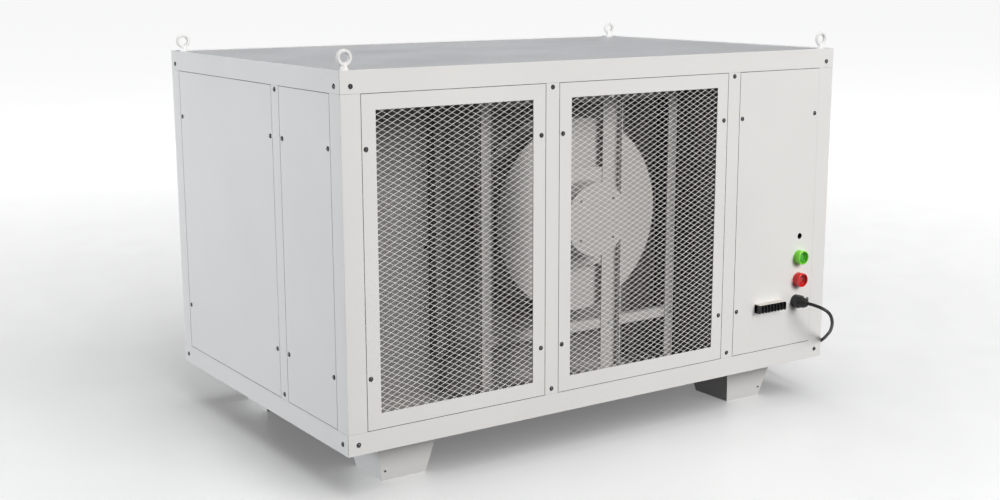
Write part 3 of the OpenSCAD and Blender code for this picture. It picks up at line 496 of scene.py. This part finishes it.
def make_terminal_strip():
    """Base, walls between the poles, a clamping screw in each pole and a light marking strip on top."""
    low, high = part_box("terminal_block")
    fins, fin_t, lip, floor_y, strip = 9, 0.002, 0.002, DOOR_FACE - 0.009, 0.0012
    marking = Shape()
    marking.block((low.x, low.y + 0.003, high.z - strip), (high.x, DOOR_FACE, high.z))
    marking.made("terminal_marking", "terminal_ivory", bevel=0.0002)
    high.z -= strip
    shape = Shape()
    shape.block((low.x, floor_y, low.z + lip), (high.x, DOOR_FACE, high.z - lip))
    pitch = (high.x - low.x - fin_t) / (fins - 1)
    for i in range(fins):
        x = low.x + i * pitch
        outline = [(DOOR_FACE, low.z), (floor_y, low.z), (low.y + 0.003, low.z), (low.y, low.z + 0.004),
                   (low.y, high.z - 0.004), (low.y + 0.003, high.z), (floor_y, high.z), (DOOR_FACE, high.z)]
        shape.loft([[(at, y, z) for y, z in outline] for at in (x, x + fin_t)])
    shape.made("terminal_strip", "black_plastic", nodes=["terminal_block"], bevel=0.0003)
    screws = Shape()
    for i in range(fins - 1):
        x = low.x + fin_t + (pitch - fin_t) / 2 + i * pitch
        for z in (low.z + 0.0075, high.z - 0.0075):
            profile = [(2.9, 0), (3.0, 0.3), (3.0, 1.4), (2.6, 1.9), (0.8, 2.0)]
            screws.lathe((x, floor_y, z), (0, -1, 0), [(r * MM, d * MM) for r, d in profile], 20)
            slot_low = (x - 0.0026, floor_y - 0.0023, z - 0.0003)
            screws.block(slot_low, (x + 0.0026, floor_y - 0.0018, z + 0.0003))
    screws.made("terminal_screws", "zinc", smooth=30)


def make_plug():
    """A moulded plug: waisted body, ribbed strain relief and three flat pins."""
    low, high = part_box("plug")
    pin_l, body_l = 0.018, 0.044
    face = high.y - pin_l
    back = face - body_l
    centre = middle("plug")
    height = (high.z - low.z) / 2
    half = (high.x - low.x) / 2
    shape = Shape()
    sections = [
        (back - 0.002, 0.50), (back, 0.62), (back + 0.006, 0.86), (back + 0.014, 0.97),
        (back + 0.020, 0.99), (face - 0.018, 0.90), (face - 0.010, 0.92), (face - 0.006, 1.0),
        (face - 0.001, 1.0), (face, 0.96),
    ]
    rings = []
    for y, share in sections:
        ring = []
        for k in range(40):
            angle = math.tau * k / 40
            c, s = math.cos(angle), math.sin(angle)
            x = math.copysign(abs(c) ** 0.45, c) * half * share
            z = math.copysign(abs(s) ** 0.45, s) * height * (0.4 + 0.6 * share)
            ring.append((centre.x + x, y, low.z + height + z))
        rings.append(ring)
    shape.loft(rings)
    axis_z = low.z + height
    relief = []
    ribs = 6
    length = back - low.y
    for i in range(ribs):
        y = length * i / ribs
        radius = 0.0055 + 0.0035 * i / (ribs - 1)
        rib = length / ribs
        groove = radius - 0.0012
        relief += [(radius, y), (radius, y + 0.6 * rib), (groove, y + 0.65 * rib), (groove, y + 0.95 * rib)]
    shape.lathe((centre.x, low.y, axis_z), (0, 1, 0), relief, 32)
    shape.made("plug_body", "black_plastic", nodes=["plug"], smooth=45)
    pins = Shape()
    for x, z in ((-0.0065, 0.004), (0.0065, 0.004), (0, -0.005)):
        start = Vector((centre.x + x, face - 0.002, axis_z + z))
        half_outline = [(0, 0.003), (0.016, 0.003), (0.020, 0.0018)]
        outline = half_outline + [(along, -across) for along, across in reversed(half_outline)]
        faces = (-0.0008, 0.0008)
        pins.loft([[start + Vector((across, along, at)) for along, across in outline] for at in faces])
    pins.made("plug_pins", "brass", smooth=30)


def make_coil_tie():
    """A strap round all the turns of the coil."""
    angle = math.radians(200)
    outward = Vector((math.cos(angle), math.sin(angle), 0))
    along = Vector((-math.sin(angle), math.cos(angle), 0))
    middle_of_turns = COIL_MIDDLE + outward * COIL_R + Vector((0, 0, 0.0103))
    rings = []
    steps = 40
    for k in range(steps):
        turn = math.tau * k / steps
        c, s = math.cos(turn), math.sin(turn)
        spot = outward * math.copysign(abs(c) ** 0.6, c) + Vector((0, 0, 1)) * math.copysign(abs(s) ** 0.6, s)
        rings.append([middle_of_turns + spot * r + along * w for r, w in
                      ((0.0092, -0.005), (0.0101, -0.005), (0.0101, 0.005), (0.0092, 0.005))])
    shape = Shape()
    shape.loft(rings, loop=True)
    return shape.made("coil_tie", "black_plastic", bevel=0.0003)


# ---------- grilles ----------
def make_expanded_mesh(node):
    """Expanded metal: zigzag strands, tilted by the stretching, that meet at short flat bonds."""
    low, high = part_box(node)
    across, up = 0.0252, 0.0131
    strand_w, strand_t, tilt, bond = 0.00125, 0.0006, math.radians(41), 0.0008
    columns = round((high.x - low.x) / across)
    rows = round(2 * (high.z - low.z - 0.004) / up)
    half_pitch = (high.x - low.x) / columns / 2
    row_step = (high.z - low.z - 0.004) / rows
    swing = (row_step - strand_w * math.cos(tilt)) / 2
    wide = Vector((0, math.sin(tilt), math.cos(tilt))) * strand_w / 2
    thick = Vector((0, -math.cos(tilt), math.sin(tilt))) * strand_t / 2
    corners = (wide + thick, wide - thick, -wide - thick, -wide + thick)
    shape = Shape()
    mid_y = (low.y + high.y) / 2
    for row in range(rows + 1):
        base = low.z + 0.002 + row * row_step
        rings = []
        for i in range(2 * columns + 1):
            side = 1 if (i + row) % 2 else -1
            x = low.x + i * half_pitch
            for shift in (-bond, bond):
                point = Vector((min(max(x + shift, low.x), high.x), mid_y, base + side * swing))
                rings.append([point + corner for corner in corners])
        shape.loft(rings[1:-1])
    shape.made(node + "_strands", "mesh_paint", nodes=[node], smooth=25)


def make_pad(node):
    """Corrugated sheets glued with their flutes crossing: ridges on both faces, slanting opposite ways."""
    low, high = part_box(node)
    pitch, depth, cell = 0.014, 0.0035, 0.0045
    across = int((high.x - low.x) / cell)
    up = int((high.z - low.z) / cell)
    shape = Shape()
    faces = {}
    for y, lean in ((low.y, 1), (high.y, -1)):
        grid = []
        for i in range(across + 1):
            column = []
            for k in range(up + 1):
                x = low.x + (high.x - low.x) * i / across
                z = low.z + (high.z - low.z) * k / up
                ridge = 0.5 + 0.5 * math.sin(math.tau * (z + lean * 0.6 * x) / pitch)
                sheet = 0.5 + 0.5 * math.sin(math.tau * x / 0.009)
                rim = 0 if i in (0, across) or k in (0, up) else 1
                fold = 0.7 * ridge + 0.3 * sheet
                column.append(shape.mesh.verts.new((x, y + lean * rim * depth * fold, z)))
            grid.append(column)
        faces[lean] = grid
        for i in range(across):
            for k in range(up):
                shape.mesh.faces.new((grid[i][k], grid[i + 1][k], grid[i + 1][k + 1], grid[i][k + 1]))
    one, two = faces[1], faces[-1]
    for i in range(across):
        for k in (0, up):
            shape.mesh.faces.new((one[i][k], one[i + 1][k], two[i + 1][k], two[i][k]))
    for k in range(up):
        for i in (0, across):
            shape.mesh.faces.new((one[i][k], one[i][k + 1], two[i][k + 1], two[i][k]))
    shape.made(node + "_paper", "pad_paper", nodes=[node], smooth=60)


# ---------- painted joint shade ---
def make_joint_shade():
    """A black strip at the bottom of the joint round each front and side panel: painted shade, darkening the
    joint as its shadow would.
    """
    gap, deep, shade_strip_t, tight = 0.0015, 0.0014, 0.0007, ("control_door",)
    families = ("grille_frame", "control_door", "side_panel", "intake_louvre")
    panels = [n for n in sorted(NODES) if n.startswith(families)]
    shape = Shape()
    for node in panels:
        low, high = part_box(node)
        side_on = node.startswith("side_panel")
        along = 1 if side_on else 0
        depth = 0 if side_on else 1
        outside = (-1 if low[depth] < 0 else 1)
        face = low[depth] if outside < 0 else high[depth]
        start, end = low[along], high[along]
        ends = [(start - gap, start)] + ([] if node in tight else [(end, end + gap)])
        strips = [(a, b, low.z - gap, high.z + gap) for a, b in ends]
        strips += [(start, end, low.z - gap, low.z), (start, end, high.z, high.z + gap)]
        for a, b, bottom, top in strips:
            corners = [[0, 0, bottom], [0, 0, top]]
            corners[0][along], corners[1][along] = a, b
            inner, outer = face - outside * deep, face - outside * (deep - shade_strip_t)
            corners[0][depth], corners[1][depth] = min(inner, outer), max(inner, outer)
            shape.block(*corners)
    shape.made("joint_shade_strips", "cable_rubber", smooth=30)


# ---------- carried-over solids ----------
BEVELS = {
    "bottom_rails": 0.0009, "top_rails": 0.0009, "corner_posts": 0.0007, "top_panel": 0.0007,
    "feet": 0.0012, "control_door": 0.0007, "lifting_eyes": 0.0006, "motor": 0.0025,
    "fan_wheel": 0.0007, "motor_rails": 0.0010, "fan_posts": 0.0010, "crossbars": 0.0010,
    "motor_plate": 0.0008, "inlet_box": 0.0010, "pump_body": 0.0015, "switchgear": 0.0012,
    "switch_bodies": 0.0010, "float_ball": 0,
}
PLAIN_BEVEL = 0.0006
# Inner walls that get the darker grey as painted shade.
SHADED_WALLS = ("bulkhead", "partition", "inlet_box")
MADE_HERE = (
    "power_cable", "cable_coil", "cable_gland", "plug", "start_button", "stop_button",
    "terminal_block", "grille_mesh_left", "grille_mesh_right", "pad_left", "pad_right",
)


def carry_over():
    """Rounded, painted copies of the sheet-metal and machined solids; the many screws stay as they are."""
    for node in sorted(NODES):
        if node in MADE_HERE:
            continue
        if node in ("cabinet_screws", "fan_bolts"):
            data = NODES[node].data
            data.materials.clear()
            data.materials.append(MATERIALS[SLOT_OF[node]])
            continue
        # The walls behind the fan take the darker grey: painted shade.
        slot = "shade_grey_paint" if node in SHADED_WALLS else SLOT_OF[node]
        rounded_copy(node, BEVELS.get(node, PLAIN_BEVEL), slot)


# ---------- studio ----------
def make_floor():
    """A plain pale floor that turns into plain white light away from the object."""
    size = 80
    data = bpy.data.meshes.new("floor")
    corners = [(-size, -size, 0), (size, -size, 0), (size, size, 0), (-size, size, 0)]
    data.from_pydata(corners, [], [(0, 1, 2, 3)])
    floor = bpy.data.objects.new("floor", data)
    bpy.context.scene.collection.objects.link(floor)
    m = Nodes("floor_white")
    m.link(m.ramp(m.noise(1.3, 3), (0.3, (0.82, 0.82, 0.82)), (0.7, (0.86, 0.86, 0.86))), "Base Color")
    m.link(m.spread(m.noise(7, 3), 0.32, 0.45), "Roughness")
    gradient = m.tree.nodes.new("ShaderNodeTexGradient")
    gradient.gradient_type = "SPHERICAL"
    mapping = m.tree.nodes.new("ShaderNodeMapping")
    mapping.inputs["Scale"].default_value = (1 / FLOOR_FADE, 1 / FLOOR_FADE, 1)
    m.tree.links.new(m.place, mapping.inputs["Vector"])
    m.tree.links.new(mapping.outputs["Vector"], gradient.inputs["Vector"])
    m.set(Emission_Color=(1, 1, 1, 1))
    m.link(m.spread(gradient.outputs["Fac"], 0.75, 0.16, 0.3, 0.88), "Emission Strength")
    data.materials.append(m.material)
    floor.visible_diffuse = False
    return floor


def make_backdrop():
    """A pale surround past the end of the floor; it neither lights nor shades the object."""
    mesh = bmesh.new()
    bmesh.ops.create_uvsphere(mesh, u_segments=64, v_segments=32, radius=88)
    data = bpy.data.meshes.new("backdrop")
    mesh.to_mesh(data)
    mesh.free()
    backdrop = bpy.data.objects.new("backdrop", data)
    bpy.context.scene.collection.objects.link(backdrop)
    m = Nodes("backdrop_white")
    m.set(Base_Color=(0, 0, 0, 1), Specular_IOR_Level=0, Emission_Strength=1)
    m.link(m.ramp(m.noise(0.01, 2), (0.3, (0.93, 0.93, 0.93)), (0.7, (0.95, 0.95, 0.95))), "Emission Color")
    data.materials.append(m.material)
    backdrop.visible_diffuse = False
    backdrop.visible_glossy = False
    backdrop.visible_transmission = False
    backdrop.visible_shadow = False


def make_world():
    """A soft sky, brighter upwards and a little dimmer towards the front."""
    world = bpy.data.worlds.new("studio")
    bpy.context.scene.world = world
    world.use_nodes = True
    tree = world.node_tree
    sky = tree.nodes["Background"]
    sky.inputs["Color"].default_value = (0.985, 0.99, 1.0, 1)
    direction = tree.nodes.new("ShaderNodeTexCoord").outputs["Generated"]
    slope = tree.nodes.new("ShaderNodeVectorMath")
    slope.operation = "DOT_PRODUCT"
    slope.inputs[1].default_value = SKY_SLOPE
    tree.links.new(direction, slope.inputs[0])
    strength = tree.nodes.new("ShaderNodeMath")
    strength.operation = "ADD"
    strength.use_clamp = True
    strength.inputs[1].default_value = SKY_LIGHT
    tree.links.new(slope.outputs["Value"], strength.inputs[0])
    tree.links.new(strength.outputs[0], sky.inputs["Strength"])


def area_light(name, place, target, size, power, colour=(1, 1, 1)):
    data = bpy.data.lights.new(name, "AREA")
    data.shape = "RECTANGLE"
    data.size, data.size_y = size
    data.energy = power
    data.color = colour
    light = bpy.data.objects.new(name, data)
    bpy.context.scene.collection.objects.link(light)
    light.location = place
    light.rotation_euler = (Vector(target) - Vector(place)).to_track_quat("-Z", "Y").to_euler()
    return light


def link_to_floor(light, floor, state):
    """Keeps a light off the floor (EXCLUDE) or on the floor alone (INCLUDE)."""
    lit = bpy.data.collections.new(light.name + "_lit")
    lit.objects.link(floor)
    lit.collection_objects[0].light_linking.link_state = state
    light.light_linking.receiver_collection = lit


def make_studio():
    floor = make_floor()
    make_backdrop()
    make_world()
    key = area_light("key", (3.0, -10.2, 5.5), (0, -0.2, 0.5), (5.6, 5.6), KEY_POWER, (1.0, 0.985, 0.965))
    side = area_light("side", (-8.0, 2.6, 2.4), (-0.7, 0, 0.5), (4.0, 3.0), SIDE_POWER, (0.95, 0.975, 1.0))
    back = area_light("back", (3.6, 7.0, 4.2), (0, 0, 0.5), (4.0, 4.0), BACK_POWER, (0.98, 0.99, 1.0))
    area_light("top", (0, 0.3, 5.5), (0, 0, 0), (5.0, 5.0), TOP_POWER, (0.98, 0.99, 1.0))
    wash = area_light("floor_wash", (0.2, -7.0, 6.5), (0, 0, 0), (8.0, 8.0), WASH_POWER)
    back.visible_glossy = False
    for light in (key, side, back):
        link_to_floor(light, floor, "EXCLUDE")
    link_to_floor(wash, floor, "INCLUDE")
    scene = bpy.context.scene
    scene.view_settings.view_transform = "Standard"
    scene.view_settings.look = "None"
    scene.view_settings.exposure = 0
    scene.view_settings.gamma = 1


SKY_LIGHT = 0.11
SKY_SLOPE = (0, 0.02, 0.18)
KEY_POWER = 1200
SIDE_POWER = 450
BACK_POWER = 230
TOP_POWER = 100
WASH_POWER = 660
FLOOR_FADE = 7.8
make_camera()
MATERIALS.update(make_materials())
DOOR_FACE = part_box("control_door")[0].y
cable, cable_exit, cable_length = make_cable()
make_plug()
tie = make_coil_tie()
make_gland()
make_lens_cap("start_button", "start_lens")
make_lens_cap("stop_button", "stop_lens")
make_terminal_strip()
for mesh_node in ("grille_mesh_left", "grille_mesh_right"):
    make_expanded_mesh(mesh_node)
for pad_node in ("pad_left", "pad_right"):
    make_pad(pad_node)
make_joint_shade()
carry_over()
make_studio()
